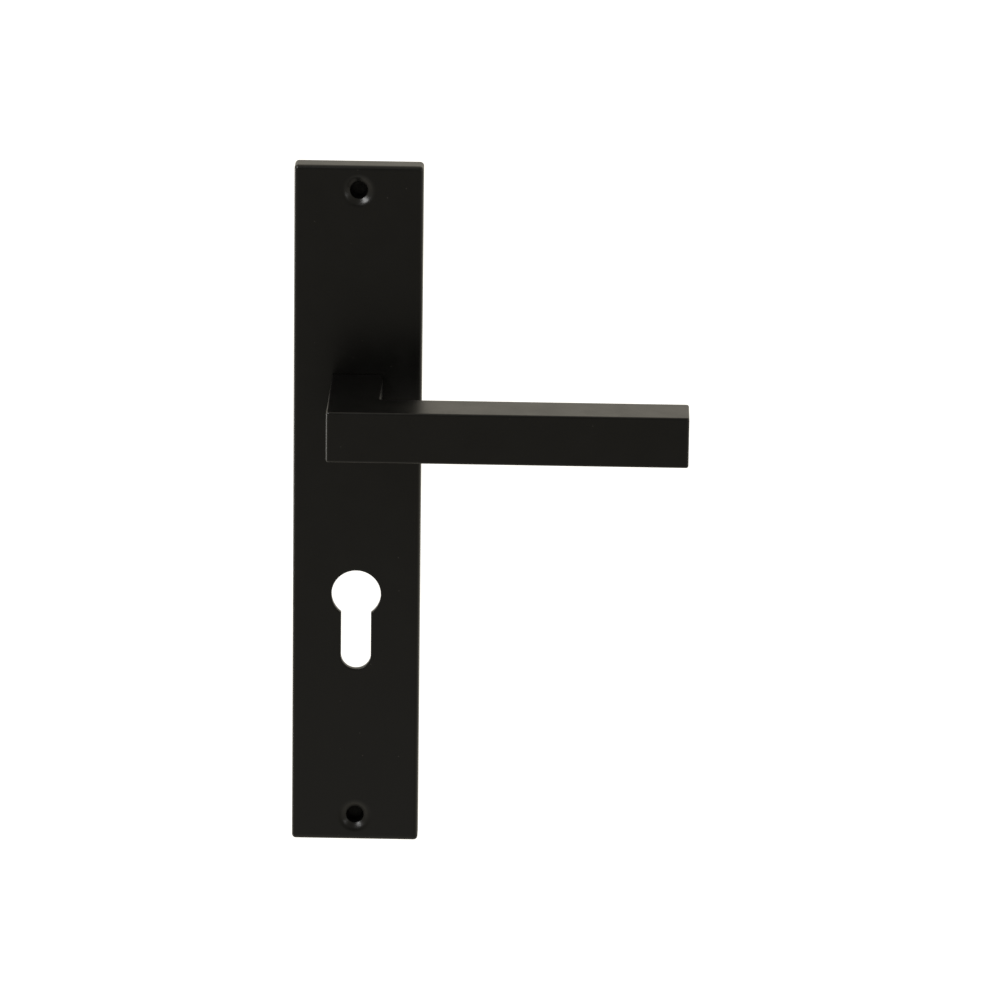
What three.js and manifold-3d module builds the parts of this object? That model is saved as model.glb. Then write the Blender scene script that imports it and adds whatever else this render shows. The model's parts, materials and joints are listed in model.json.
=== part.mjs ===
// Lever handle on a long backplate, for a door with a profile cylinder.
// Millimetres, +Z up. The origin is on the spindle axis, in the plane where the plate meets the door.
// The user stands on the -Y side, the lever's free end points along +X, and the door is on the +Y side.
// The lever turns about the Y axis, against a torsion spring in a housing behind the plate.

import * as THREE from "three";
import { mergeVertices } from "three/addons/utils/BufferGeometryUtils.js";
import Module from "manifold-3d";

// ---------------------------------------------------------------- driving dimensions

const GAP = 0.3; // clearance between pieces that touch
const PAST = 1; // how far a cutting body reaches past the surface that it cuts

// backplate
const PLATE_WIDTH = 45;
const PLATE_TOP = 84; // above the spindle axis
const PLATE_BOTTOM = -164;
const PLATE_THICKNESS = 8;
const FRONT_WALL = 2.4; // thickness of the cast front, behind which the plate is hollow
const RIM = 2.2; // thickness of the plate's side walls
const EDGE_RADIUS = 1.2;
const CORNER_RADIUS = 1.4;
const HOLLOW_CORNER_RADIUS = 1;
const RIB = 1.6;
const RIB_SETBACK = 1; // how far the ribs stay clear of the door
const RIB_ROOT = 0.5; // how far the ribs and bosses reach into the front wall
const HOUSING_TO_RIB = 3; // from the spring housing's edge to the middle of the next rib
const END_TO_SCREW = 9; // from each end of the plate to its fixing screw
const SCREW_HOLE_RADIUS = 2.85;
const COUNTERSINK_RADIUS = 5.2;
const COUNTERSINK_DEPTH = 1.6;
const SCREW_BOSS_RADIUS = 6.2;
const PILOT_DEPTH = 1.8; // of the blind holes behind the front wall for screws and stop pins
const RETAINER_RADIUS = 3.7;
const RETAINER_THICKNESS = 0.8;
const RETAINER_SETBACK = 0.05;
const SCORE_LENGTH = 4.8; // of each cut of the cross scored in a retainer
const SCORE_WIDTH = 0.4;
const SCORE_DEPTH = 0.4;

// profile cylinder cut-out
const SPINDLE_TO_CYLINDER = 72;
const CUTOUT_CIRCLE_RADIUS = 8.7;
const CUTOUT_SLOT_WIDTH = 10.6;
const CUTOUT_HEIGHT = 36.5;
const CUTOUT_MARGIN = 4.5; // clear space above and below the cut-out, behind the plate

// lever
const BAR = 18; // side of the square bar and of the square neck
const LEVER_FRONT = 50; // from the plate's face to the lever's front face
const LEVER_LENGTH = 125;
const LEVER_RADIUS = 0.8; // of its long edges
const LEVER_CORNER_RADIUS = 1;
const LEVER_TRAVEL = 45; // degrees that the lever turns, down from level

// turning parts
const SPIGOT_RADIUS = 7.5;
const SPIGOT_END = 4.2; // how far the spigot reaches past the plane of the door
const SPIGOT_FLAT = 6.4; // half the distance across the two flats that drive the cam
const SPIGOT_CHAMFER = 0.6;
const SPINDLE = 8; // square
const SPINDLE_FRONT = -36;
const SPINDLE_BACK = 64;
const SPINDLE_PLAY = 0.15;
const SPINDLE_CORNER = 0.8;
const SPINDLE_CHAMFER = 0.5;
const RUNNING_PLAY = 0.15; // between the spigot and what turns on it or what it turns in
const GRUB_RADIUS = 3;
const GRUB_Y = -22;
const GRUB_SETBACK = 0.6; // of the screw's socket below the neck's face
const GRUB_PLAY = 0.2;
const GRUB_KEY_RADIUS = 1.7; // to the corners of the hexagon socket
const GRUB_KEY_DEPTH = 2;

// spring mechanism
const HOUSING_SIDE = 37;
const HOUSING_RADIUS = 15.6; // of the round hollow that holds the spring
const HOUSING_FLOOR = 0.5;
const WIRE_RADIUS = 0.55;
const COIL_RADIUS = 13.5; // to the middle of the wire
const COIL_PITCH = 1.25;
const LEG_PLAY = 0.4; // round the wire in the cam's hole
const LEG_REACH = 1.8; // of the fixed leg into the housing's slot
const CAM_THICKNESS = 1;
const CAM_RADIUS = 12;
const ARM_HALF_WIDTH = 3;
const ARM_REACH = 19.6;
const ARM_FLARE = 2; // how much the arm widens on each side where it leaves the disc
const LAND_WIDTH = 9.4; // of the two flats in the cam's hole
const STOP_PIN_RADIUS = 1.4;
const STOP_CIRCLE_RADIUS = 17.6;
const STOP_PLAY = 0.15;
const HOUSING_SCREW_OFFSET = 15.2; // of each screw from the spindle axis, along X and along Z
const SCREW_RADIUS = 1.15;
const SCREW_HEAD_RADIUS = 2.2;
const SCREW_HEAD_HEIGHT = 1.1;
const SCREW_POINT = 0.5; // length of the chamfer at the screw's tip
const CROSS_LENGTH = 2.4; // of each cut of the screw's cross recess
const CROSS_WIDTH = 0.6;
const CROSS_DEPTH = 0.6;
const FASTENER_PLAY = 0.2; // round screws and pins in their holes
const LEG_SLOT_WIDTH = 2;
const HOUSING_CORNER_RADIUS = 2.5;
const BUSH_WALL = 0.65;
const BUSH_FLANGE = 0.8;
const BUSH_FLANGE_REACH = 2.6; // past the bush's own outside
const BUSH_SETBACK = 0.4; // of the bush's front end behind the plate's face
const GUIDE_PLAY = 0.4;
const GUIDE_TO_COIL = 1.3;

// washers and retaining ring, behind the cam
const WASHER_RADIUS = 11;
const WASHER_THICKNESS = 0.5;
const WAVE_RADIUS = 10.2;
const WAVE_THICKNESS = 0.25;
const WAVE_HEIGHT = 0.2;
const RING_THICKNESS = 0.9;
const RING_RADIUS = 9.1;
const RING_GROOVE_RADIUS = 6.7;
const RING_GROOVE_PLAY = 0.15;
const RING_MOUTH = 4.4;
const EAR_RADIUS = 2;
const EAR_HOLE_RADIUS = 0.8;
const EAR_ANGLE = 22; // of each ear from the middle of the mouth, in degrees
const WASHER_PLAY = 0.25;

// numbers of sides
const FINE = 48;
const COARSE = 32;
const SMALL = 20;
const EYE = 12;

// ---------------------------------------------------------------- worked-out places

const plateFront = -PLATE_THICKNESS;
const wallBack = plateFront + FRONT_WALL;
const plateMiddle = (PLATE_TOP + PLATE_BOTTOM) / 2;
const plateHeight = PLATE_TOP - PLATE_BOTTOM;
const screwHeights = { upper: PLATE_TOP - END_TO_SCREW, lower: PLATE_BOTTOM + END_TO_SCREW };

const leverFront = plateFront - LEVER_FRONT;
const barBack = leverFront + BAR;
const neckRoot = plateFront - GAP;
const half = BAR / 2;

const housingFront = wallBack + GAP;
const floorBack = housingFront + HOUSING_FLOOR;
const coilStart = floorBack + GAP + WIRE_RADIUS;
const camBack = -GAP;
const camFront = camBack - CAM_THICKNESS;
const housingBack = camFront - GAP;
const screwHeadFront = housingBack - SCREW_HEAD_HEIGHT - GAP / 3;
const boreRadius = SPIGOT_RADIUS + RUNNING_PLAY + BUSH_WALL + GAP;
const washerHole = SPIGOT_RADIUS + WASHER_PLAY;
const washerFront = camBack + GAP;
const waveMiddle = washerFront + WASHER_THICKNESS + GAP + WAVE_HEIGHT + WAVE_THICKNESS / 2;
const ringFront = waveMiddle + WAVE_HEIGHT + WAVE_THICKNESS / 2 + GAP;

const armRest = -LEVER_TRAVEL / 2; // the arm's direction at rest, in degrees from +Z towards +X
const stopAngle =
  LEVER_TRAVEL / 2 +
  degrees(Math.asin((ARM_HALF_WIDTH + STOP_PIN_RADIUS + STOP_PLAY) / STOP_CIRCLE_RADIUS));

const cutoutTop = -SPINDLE_TO_CYLINDER + CUTOUT_CIRCLE_RADIUS;
const cutoutBottom = cutoutTop - CUTOUT_HEIGHT;

// ---------------------------------------------------------------- materials

const material = (color, roughness, metalness) =>
  new THREE.MeshStandardMaterial({ color, roughness, metalness });

const blackCoat = material(0x1d1c1a, 0.5, 0.1);
const zincSteel = material(0xb9bcc0, 0.35, 0.9);
const springSteel = material(0x8d9096, 0.3, 0.95);
const darkSteel = material(0x35363a, 0.4, 0.9);
const whiteNylon = material(0xe4e2da, 0.55, 0);
const blackNylon = material(0x141414, 0.6, 0);
const castZinc = material(0x8f9295, 0.55, 0.7);

// ---------------------------------------------------------------- geometry helpers

const wasm = await Module();
wasm.setup();

function degrees(radians) {
  return (radians * 180) / Math.PI;
}

function radians(angle) {
  return (angle * Math.PI) / 180;
}

// A closed three.js geometry as a manifold solid.
function solid(geometry) {
  const plain = geometry.clone();
  plain.deleteAttribute("normal");
  plain.deleteAttribute("uv");
  const merged = mergeVertices(plain, 1e-4);
  return new wasm.Manifold(
    new wasm.Mesh({
      numProp: 3,
      vertProperties: merged.attributes.position.array,
      triVerts: new Uint32Array(merged.index.array),
    }),
  );
}

// A manifold solid back as a three.js geometry.
function geometryOf(body) {
  const mesh = body.getMesh();
  const geometry = new THREE.BufferGeometry();
  geometry.setAttribute("position", new THREE.BufferAttribute(mesh.vertProperties, 3));
  geometry.setIndex(new THREE.BufferAttribute(mesh.triVerts, 1));
  geometry.computeVertexNormals();
  return geometry;
}

const join = (first, ...rest) => rest.reduce((sum, next) => sum.add(next), first);
const cut = (first, ...rest) => rest.reduce((left, next) => left.subtract(next), first);

// A box between two corners.
function box([x0, y0, z0], [x1, y1, z1]) {
  const geometry = new THREE.BoxGeometry(x1 - x0, y1 - y0, z1 - z0);
  return solid(geometry.translate((x0 + x1) / 2, (y0 + y1) / 2, (z0 + z1) / 2));
}

// A shape drawn in the XZ plane, filled between two depths along Y.
function slab(shape, front, back, options = {}) {
  const settings = { depth: back - front, bevelEnabled: false, curveSegments: COARSE, ...options };
  const geometry = new THREE.ExtrudeGeometry(shape, settings);
  return solid(geometry.rotateX(Math.PI / 2).translate(0, back, 0));
}

// A body turned about an axis along Y through (x, z), from pairs of radius and depth.
function turned(profile, sides = COARSE, x = 0, z = 0) {
  const points = profile.map(([radius, y]) => new THREE.Vector2(radius, y));
  return solid(new THREE.LatheGeometry(points, sides).translate(x, 0, z));
}

// A round rod along Y.
function rod(radius, front, back, sides = COARSE, x = 0, z = 0) {
  return turned([[0, front], [radius, front], [radius, back], [0, back]], sides, x, z);
}

// A round tube along Y, with square ends.
function tube(inner, outer, front, back, sides = COARSE) {
  const section = [[inner, front], [outer, front], [outer, back], [inner, back], [inner, front]];
  return turned(section, sides);
}

// A rectangle with round corners, centred on (x, y).
function roundedRectangle(width, height, radius, x = 0, y = 0) {
  const [a, b] = [width / 2 - radius, height / 2 - radius];
  const corners = [[a, -b], [a, b], [-a, b], [-a, -b]];
  const shape = new THREE.Shape();
  corners.forEach(([cx, cy], i) => {
    const start = ((i - 1) * Math.PI) / 2;
    shape.absarc(x + cx, y + cy, radius, start, start + Math.PI / 2, false);
  });
  return shape;
}

// The two boxes that cut a cross into a face that looks along +Y.
function cross(x, z, face, length, width, depth) {
  const [long, thin] = [length / 2, width / 2];
  const [front, back] = [face - depth, face + PAST];
  return [
    box([x - long, front, z - thin], [x + long, back, z + thin]),
    box([x - thin, front, z - long], [x + thin, back, z + long]),
  ];
}

// The point at a radius and an angle, in degrees from +Z towards +X.
function polar(radius, angle) {
  return [radius * Math.sin(radians(angle)), radius * Math.cos(radians(angle))];
}

const group = new THREE.Group();

function add(name, body, finish) {
  const mesh = new THREE.Mesh(body.isBufferGeometry ? body : geometryOf(body), finish);
  mesh.name = name;
  group.add(mesh);
}

// ---------------------------------------------------------------- backplate

// The profile cylinder's outline: a circle with a round-ended slot below it.
function cylinderOutline() {
  const r = CUTOUT_CIRCLE_RADIUS;
  const s = CUTOUT_SLOT_WIDTH / 2;
  const meet = Math.asin(s / r);
  const shape = new THREE.Shape();
  shape.absarc(0, -SPINDLE_TO_CYLINDER, r, -Math.PI / 2 + meet, (3 * Math.PI) / 2 - meet, false);
  shape.absarc(0, cutoutBottom + s, s, Math.PI, 2 * Math.PI, false);
  return shape;
}

// The plate's outer body, with its front edges rounded.
function plateBlock() {
  const outline = roundedRectangle(PLATE_WIDTH, plateHeight, CORNER_RADIUS, 0, plateMiddle);
  const rounded = slab(outline, plateFront + EDGE_RADIUS, EDGE_RADIUS, {
    bevelEnabled: true,
    bevelSize: EDGE_RADIUS,
    bevelThickness: EDGE_RADIUS,
    bevelOffset: -EDGE_RADIUS,
    bevelSegments: 3,
    curveSegments: 4,
  });
  const spare = box([-PLATE_WIDTH, 0, PLATE_BOTTOM - PAST], [PLATE_WIDTH, 3, PLATE_TOP + PAST]);
  return cut(rounded, spare);
}

// The ribs behind the plate: cross ribs at the given heights, and a middle rib along each span.
function ribs(crossings, spans) {
  const reach = PLATE_WIDTH / 2 - RIM / 2;
  const [front, back] = [wallBack - RIB_ROOT, -RIB_SETBACK];
  const w = RIB / 2;
  const across = crossings.map((z) => box([-reach, front, z - w], [reach, back, z + w]));
  const along = spans.map(([low, high]) => box([-w, front, low], [w, back, high]));
  return [...across, ...along];
}

function backplate() {
  const mechanismEdge = HOUSING_SIDE / 2 + HOUSING_TO_RIB;
  const recessTop = cutoutTop + CUTOUT_MARGIN;
  const recessBottom = cutoutBottom - CUTOUT_MARGIN;
  const { upper, lower } = screwHeights;
  const third = (upper - mechanismEdge) / 3;
  const lowerThird = (recessBottom - lower) / 3;
  const crossings = [
    mechanismEdge + third,
    mechanismEdge + 2 * third,
    mechanismEdge,
    -mechanismEdge,
    (-mechanismEdge + recessTop) / 2,
    recessTop,
    recessBottom,
    recessBottom - lowerThird,
    recessBottom - 2 * lowerThird,
  ];
  const spans = [
    [mechanismEdge, upper],
    [recessTop, -mechanismEdge],
    [lower, recessBottom],
  ];

  const [inside, tall] = [PLATE_WIDTH - 2 * RIM, plateHeight - 2 * RIM];
  const hollow = roundedRectangle(inside, tall, HOLLOW_CORNER_RADIUS, 0, plateMiddle);
  const shell = cut(plateBlock(), slab(hollow, wallBack, PAST, { curveSegments: 3 }));
  const bossFront = wallBack - RIB_ROOT;
  const bosses = [upper, lower].map((z) => rod(SCREW_BOSS_RADIUS, bossFront, 0, COARSE, 0, z));
  const stiff = join(shell, ...ribs(crossings, spans), ...bosses);

  const retainerPocket = RETAINER_THICKNESS + RETAINER_SETBACK + GAP;
  const screwHoles = [upper, lower].map((z) =>
    turned(
      [
        [0, plateFront - PAST],
        [COUNTERSINK_RADIUS, plateFront - PAST],
        [COUNTERSINK_RADIUS, plateFront],
        [SCREW_HOLE_RADIUS, plateFront + COUNTERSINK_DEPTH],
        [SCREW_HOLE_RADIUS, -retainerPocket],
        [RETAINER_RADIUS + GAP, -retainerPocket],
        [RETAINER_RADIUS + GAP, PAST],
        [0, PAST],
      ],
      FINE,
      0,
      z,
    ),
  );
  const pilotFront = wallBack - PILOT_DEPTH;
  const pilot = (radius, [x, z]) => rod(radius, pilotFront, wallBack + PAST, SMALL, x, z);
  const pilots = [
    ...housingScrewPlaces().map((place) => pilot(SCREW_RADIUS + FASTENER_PLAY, place)),
    ...stopPinPlaces().map((place) => pilot(STOP_PIN_RADIUS + FASTENER_PLAY, place)),
  ];
  const bore = rod(boreRadius, plateFront - PAST, wallBack + PAST, FINE);
  const cutout = slab(cylinderOutline(), plateFront - PAST, PAST, { curveSegments: SMALL });
  return cut(stiff, ...screwHoles, ...pilots, bore, cutout);
}

// A nylon disc that grips a fixing screw while the plate is fitted, and hides its hole until then.
function screwRetainer(z) {
  const back = -RETAINER_SETBACK;
  const disc = rod(RETAINER_RADIUS, back - RETAINER_THICKNESS, back, COARSE, 0, z);
  return cut(disc, ...cross(0, z, back, SCORE_LENGTH, SCORE_WIDTH, SCORE_DEPTH));
}

// ---------------------------------------------------------------- lever

// The bar and the neck are one square section bent at a right angle, with all its edges rounded.
function leverBlock() {
  const r = LEVER_CORNER_RADIUS;
  const end = LEVER_LENGTH - half;
  const quarter = Math.PI / 2;
  const outline = new THREE.Shape();
  outline.absarc(-half + r, leverFront + r, r, -2 * quarter, -quarter, false);
  outline.absarc(end - r, leverFront + r, r, -quarter, 0, false);
  outline.absarc(end - r, barBack - r, r, 0, quarter, false);
  outline.absarc(half + r, barBack + r, r, -quarter, -2 * quarter, true);
  outline.lineTo(half, neckRoot);
  outline.lineTo(-half, neckRoot);
  const geometry = new THREE.ExtrudeGeometry(outline, {
    depth: BAR - 2 * LEVER_RADIUS,
    curveSegments: 4,
    bevelSize: LEVER_RADIUS,
    bevelThickness: LEVER_RADIUS,
    bevelOffset: -LEVER_RADIUS,
    bevelSegments: 3,
  });
  return solid(geometry.translate(0, 0, -half + LEVER_RADIUS));
}

function leverHandle() {
  const root = neckRoot - PAST;
  const [grooveFront, grooveBack] = [ringFront - GAP / 3, ringFront + RING_THICKNESS + GAP / 3];
  const spigot = turned(
    [
      [0, root],
      [SPIGOT_RADIUS, root],
      [SPIGOT_RADIUS, grooveFront],
      [RING_GROOVE_RADIUS, grooveFront],
      [RING_GROOVE_RADIUS, grooveBack],
      [SPIGOT_RADIUS, grooveBack],
      [SPIGOT_RADIUS, SPIGOT_END - SPIGOT_CHAMFER],
      [SPIGOT_RADIUS - SPIGOT_CHAMFER, SPIGOT_END],
      [0, SPIGOT_END],
    ],
    FINE,
  );
  const [side, start, end] = [SPIGOT_RADIUS + PAST, camFront - GAP, SPIGOT_END + PAST];
  const flats = [
    box([-side, start, SPIGOT_FLAT], [side, end, side]),
    box([-side, start, -side], [side, end, -SPIGOT_FLAT]),
  ];
  const socket = SPINDLE / 2 + SPINDLE_PLAY;
  const broach = box([-socket, SPINDLE_FRONT - GAP, -socket], [socket, end, socket]);
  const grubHole = grubCylinder(GRUB_RADIUS + GRUB_PLAY, -half - PAST, 0, SMALL);
  return cut(join(leverBlock(), spigot), ...flats, broach, grubHole);
}

function spindle() {
  const outline = roundedRectangle(SPINDLE, SPINDLE, SPINDLE_CORNER);
  return slab(outline, SPINDLE_FRONT + SPINDLE_CHAMFER, SPINDLE_BACK - SPINDLE_CHAMFER, {
    bevelEnabled: true,
    bevelSize: SPINDLE_CHAMFER,
    bevelThickness: SPINDLE_CHAMFER,
    bevelOffset: -SPINDLE_CHAMFER,
    bevelSegments: 1,
    curveSegments: 2,
  });
}

// An upright cylinder on the grub screw's axis, between two heights.
function grubCylinder(radius, bottom, top, sides) {
  const geometry = new THREE.CylinderGeometry(radius, radius, top - bottom, sides);
  return solid(geometry.rotateX(Math.PI / 2).translate(0, GRUB_Y, (top + bottom) / 2));
}

// The socket screw in the underside of the neck that holds the lever on the spindle.
function grubScrew() {
  const [top, bottom] = [-SPINDLE / 2 - GAP, -half + GRUB_SETBACK];
  const body = grubCylinder(GRUB_RADIUS - GRUB_PLAY / 2, bottom, top, SMALL);
  return cut(body, grubCylinder(GRUB_KEY_RADIUS, bottom - PAST, bottom + GRUB_KEY_DEPTH, 6));
}

// ---------------------------------------------------------------- bearing and spring mechanism

function neckBush() {
  const inner = SPIGOT_RADIUS + RUNNING_PLAY;
  const outer = inner + BUSH_WALL;
  const wide = outer + BUSH_FLANGE_REACH;
  const [front, flange] = [plateFront + BUSH_SETBACK, floorBack + GAP];
  return turned(
    [
      [inner, front],
      [outer, front],
      [outer, flange],
      [wide, flange],
      [wide, flange + BUSH_FLANGE],
      [inner, flange + BUSH_FLANGE],
      [inner, front],
    ],
    FINE,
  );
}

// The collar inside the coil, which keeps the spring round the spindle axis.
function springGuide() {
  const front = floorBack + 2 * GAP + BUSH_FLANGE;
  return tube(SPIGOT_RADIUS + GUIDE_PLAY, COIL_RADIUS - GUIDE_TO_COIL, front, housingBack, FINE);
}

function housingScrewPlaces() {
  const d = HOUSING_SCREW_OFFSET;
  return [[-d, d], [d, d], [-d, -d], [d, -d]];
}

function stopPinPlaces() {
  return [polar(STOP_CIRCLE_RADIUS, -stopAngle), polar(STOP_CIRCLE_RADIUS, stopAngle)];
}

// The square cup behind the plate that holds the spring, open at the back.
function springHousing() {
  const outline = roundedRectangle(HOUSING_SIDE, HOUSING_SIDE, HOUSING_CORNER_RADIUS);
  const block = slab(outline, housingFront, housingBack, { curveSegments: 6 });
  const [before, behind] = [housingFront - PAST, housingBack + PAST];
  const cavity = rod(HOUSING_RADIUS, floorBack, behind, FINE);
  const bore = rod(boreRadius, before, floorBack + PAST, FINE);
  const slot = LEG_SLOT_WIDTH / 2;
  const legSlot = box([-slot, floorBack, -HOUSING_SIDE], [slot, behind, -HOUSING_RADIUS + PAST]);
  const [shank, head] = [SCREW_RADIUS + FASTENER_PLAY, SCREW_HEAD_RADIUS + GAP];
  const seat = screwHeadFront - FASTENER_PLAY;
  const screws = housingScrewPlaces().map(([x, z]) =>
    turned(
      [
        [0, before],
        [shank, before],
        [shank, seat],
        [head, seat],
        [head, behind],
        [0, behind],
      ],
      SMALL,
      x,
      z,
    ),
  );
  const pins = stopPinPlaces().map(([x, z]) =>
    rod(STOP_PIN_RADIUS + FASTENER_PLAY, before, behind, SMALL, x, z),
  );
  return cut(block, cavity, bore, legSlot, ...screws, ...pins);
}

// A pan-head screw with a cross recess, driven into the plate from behind.
function housingScrew([x, z]) {
  const tip = wallBack - PILOT_DEPTH + GAP;
  const back = screwHeadFront + SCREW_HEAD_HEIGHT;
  const body = turned(
    [
      [0, tip],
      [SCREW_RADIUS - SCREW_POINT, tip],
      [SCREW_RADIUS, tip + SCREW_POINT],
      [SCREW_RADIUS, screwHeadFront],
      [SCREW_HEAD_RADIUS, screwHeadFront],
      [SCREW_HEAD_RADIUS, back - SCREW_HEAD_HEIGHT / 3],
      [SCREW_HEAD_RADIUS - SCREW_HEAD_HEIGHT / 2, back],
      [0, back],
    ],
    SMALL,
    x,
    z,
  );
  return cut(body, ...cross(x, z, back, CROSS_LENGTH, CROSS_WIDTH, CROSS_DEPTH));
}

function stopPin([x, z]) {
  const [r, chamfer] = [STOP_PIN_RADIUS, STOP_PIN_RADIUS / 5];
  const [front, back] = [wallBack - PILOT_DEPTH + GAP, camBack];
  const profile = [[0, front], [r, front], [r, back - chamfer], [r - chamfer, back], [0, back]];
  return turned(profile, SMALL, x, z);
}

// The plate that the spigot's flats turn.
// Its arm carries the spring's moving leg, and meets the two stop pins.
function driveCam() {
  const disc = tube(SPIGOT_RADIUS + RUNNING_PLAY, CAM_RADIUS, camFront, camBack, FINE);
  const [flat, side, edge] = [SPIGOT_FLAT + RUNNING_PLAY, LAND_WIDTH / 2, SPIGOT_RADIUS + PAST];
  const lands = [
    box([-side, camFront, flat], [side, camBack, edge]),
    box([-side, camFront, -edge], [side, camBack, -flat]),
  ];
  const [root, wide] = [CAM_RADIUS - ARM_FLARE, ARM_HALF_WIDTH + ARM_FLARE];
  const arm = new THREE.Shape();
  arm.absarc(0, ARM_REACH - ARM_HALF_WIDTH, ARM_HALF_WIDTH, 0, Math.PI, false);
  arm.lineTo(-wide, root);
  arm.lineTo(wide, root);
  const armBody = slab(arm, camFront, camBack, { curveSegments: 12 }).rotate([0, armRest, 0]);
  const [x, z] = polar(COIL_RADIUS, armRest);
  const legHole = rod(WIRE_RADIUS + LEG_PLAY, camFront - PAST, camBack + PAST, SMALL, x, z);
  return cut(join(disc, ...lands, armBody), legHole);
}

// The torsion spring's wire.
// A straight leg runs in from the housing's slot, then comes the coil, and a leg back into the cam's arm.
class SpringLine extends THREE.Curve {
  constructor() {
    super();
    const turns = (armRest + 360 + 180) / 360;
    const points = [];
    for (const radius of [HOUSING_RADIUS + LEG_REACH, HOUSING_RADIUS, COIL_RADIUS + WIRE_RADIUS]) {
      points.push(new THREE.Vector3(0, coilStart, -radius));
    }
    const steps = 54;
    for (let i = 1; i < steps; i += 1) {
      const angle = 180 + (360 * turns * i) / steps;
      const [x, z] = polar(COIL_RADIUS, angle);
      points.push(new THREE.Vector3(x, coilStart + (COIL_PITCH * turns * i) / steps, z));
    }
    const [x, z] = polar(COIL_RADIUS, armRest);
    const coilEnd = coilStart + COIL_PITCH * turns;
    for (const y of [coilEnd + WIRE_RADIUS, camBack - GAP]) {
      points.push(new THREE.Vector3(x, y, z));
    }
    this.line = new THREE.CatmullRomCurve3(points, false, "centripetal");
  }

  getPoint(t, target) {
    return this.line.getPoint(t, target);
  }
}

function returnSpring() {
  const section = new THREE.Shape();
  section.absarc(0, 0, WIRE_RADIUS, 0, 2 * Math.PI, false);
  const path = new SpringLine();
  return new THREE.ExtrudeGeometry(section, { extrudePath: path, steps: 76, curveSegments: 4 });
}

// ---------------------------------------------------------------- washers and retaining ring

function thrustWasher() {
  return tube(washerHole, WASHER_RADIUS, washerFront, washerFront + WASHER_THICKNESS, FINE);
}

// A flat spring washer with three waves round it.
function waveWasher() {
  const flat = tube(washerHole, WAVE_RADIUS, -WAVE_THICKNESS / 2, WAVE_THICKNESS / 2, FINE);
  const geometry = geometryOf(flat);
  const place = geometry.attributes.position;
  for (let i = 0; i < place.count; i += 1) {
    const angle = Math.atan2(place.getX(i), place.getZ(i));
    place.setY(i, place.getY(i) + waveMiddle + WAVE_HEIGHT * Math.cos(3 * angle));
  }
  return geometry;
}

// An open ring with two drilled ears, sprung into the spigot's groove.
function retainingRing() {
  const [front, back] = [ringFront, ringFront + RING_THICKNESS];
  const [before, behind] = [front - PAST, back + PAST];
  const inner = RING_GROOVE_RADIUS + RING_GROOVE_PLAY;
  const ring = tube(inner, RING_RADIUS, front, back, FINE);
  const mouth = RING_MOUTH / 2;
  const open = cut(ring, box([-mouth, before, 0], [mouth, behind, RING_RADIUS + PAST]));
  const ears = [-1, 1].map((sign) => {
    const [x, z] = polar(RING_RADIUS, sign * EAR_ANGLE);
    const eye = rod(EAR_HOLE_RADIUS, before, behind, EYE, x, z);
    return cut(rod(EAR_RADIUS, front, back, SMALL, x, z), eye);
  });
  return cut(join(open, ...ears), rod(inner, before, behind, FINE));
}

// ---------------------------------------------------------------- the assembly

add("backplate", backplate(), blackCoat);
for (const [name, z] of Object.entries(screwHeights)) {
  add(`screw_retainer_${name}`, screwRetainer(z), blackNylon);
}
add("neck_bush", neckBush(), whiteNylon);
add("spring_housing", springHousing(), castZinc);
housingScrewPlaces().forEach((place, i) => {
  add(`housing_screw_${i + 1}`, housingScrew(place), zincSteel);
});
const [levelPlace, downPlace] = stopPinPlaces();
add("stop_pin_level", stopPin(levelPlace), zincSteel);
add("stop_pin_down", stopPin(downPlace), zincSteel);
add("spring_guide", springGuide(), whiteNylon);
add("return_spring", returnSpring(), springSteel);

add("lever_handle", leverHandle(), blackCoat);
add("spindle", spindle(), zincSteel);
add("grub_screw", grubScrew(), darkSteel);
add("drive_cam", driveCam(), zincSteel);
add("thrust_washer", thrustWasher(), zincSteel);
add("wave_washer", waveWasher(), springSteel);
add("retaining_ring", retainingRing(), darkSteel);

export default group;
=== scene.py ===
# The looks of a lever handle on a long backplate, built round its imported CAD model.
# Shapes are worked out in millimetres in the model's own frame, and become metres in piece().
import json
import math

import bmesh
import bpy
from mathutils import Matrix, Vector

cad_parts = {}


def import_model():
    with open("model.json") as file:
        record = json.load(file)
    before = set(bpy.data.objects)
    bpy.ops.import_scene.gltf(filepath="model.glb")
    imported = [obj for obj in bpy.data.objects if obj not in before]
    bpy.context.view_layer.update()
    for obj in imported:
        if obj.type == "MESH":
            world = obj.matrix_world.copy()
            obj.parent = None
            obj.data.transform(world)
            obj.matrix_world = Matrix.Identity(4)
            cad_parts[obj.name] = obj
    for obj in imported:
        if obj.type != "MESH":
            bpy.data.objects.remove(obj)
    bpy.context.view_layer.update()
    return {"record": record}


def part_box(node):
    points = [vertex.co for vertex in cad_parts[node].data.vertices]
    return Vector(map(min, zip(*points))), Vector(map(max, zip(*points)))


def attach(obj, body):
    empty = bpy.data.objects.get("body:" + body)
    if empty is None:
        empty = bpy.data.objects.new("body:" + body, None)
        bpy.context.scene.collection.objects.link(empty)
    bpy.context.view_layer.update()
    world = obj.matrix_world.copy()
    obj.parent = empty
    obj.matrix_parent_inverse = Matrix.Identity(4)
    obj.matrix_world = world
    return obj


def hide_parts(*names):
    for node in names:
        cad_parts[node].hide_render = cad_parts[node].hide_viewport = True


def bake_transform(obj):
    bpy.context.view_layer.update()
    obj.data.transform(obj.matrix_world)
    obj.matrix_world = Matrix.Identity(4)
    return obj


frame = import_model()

record = frame["record"]
MM = 0.001

# ---------------------------------------------------------------- driving dimensions, as in the CAD model

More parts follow.
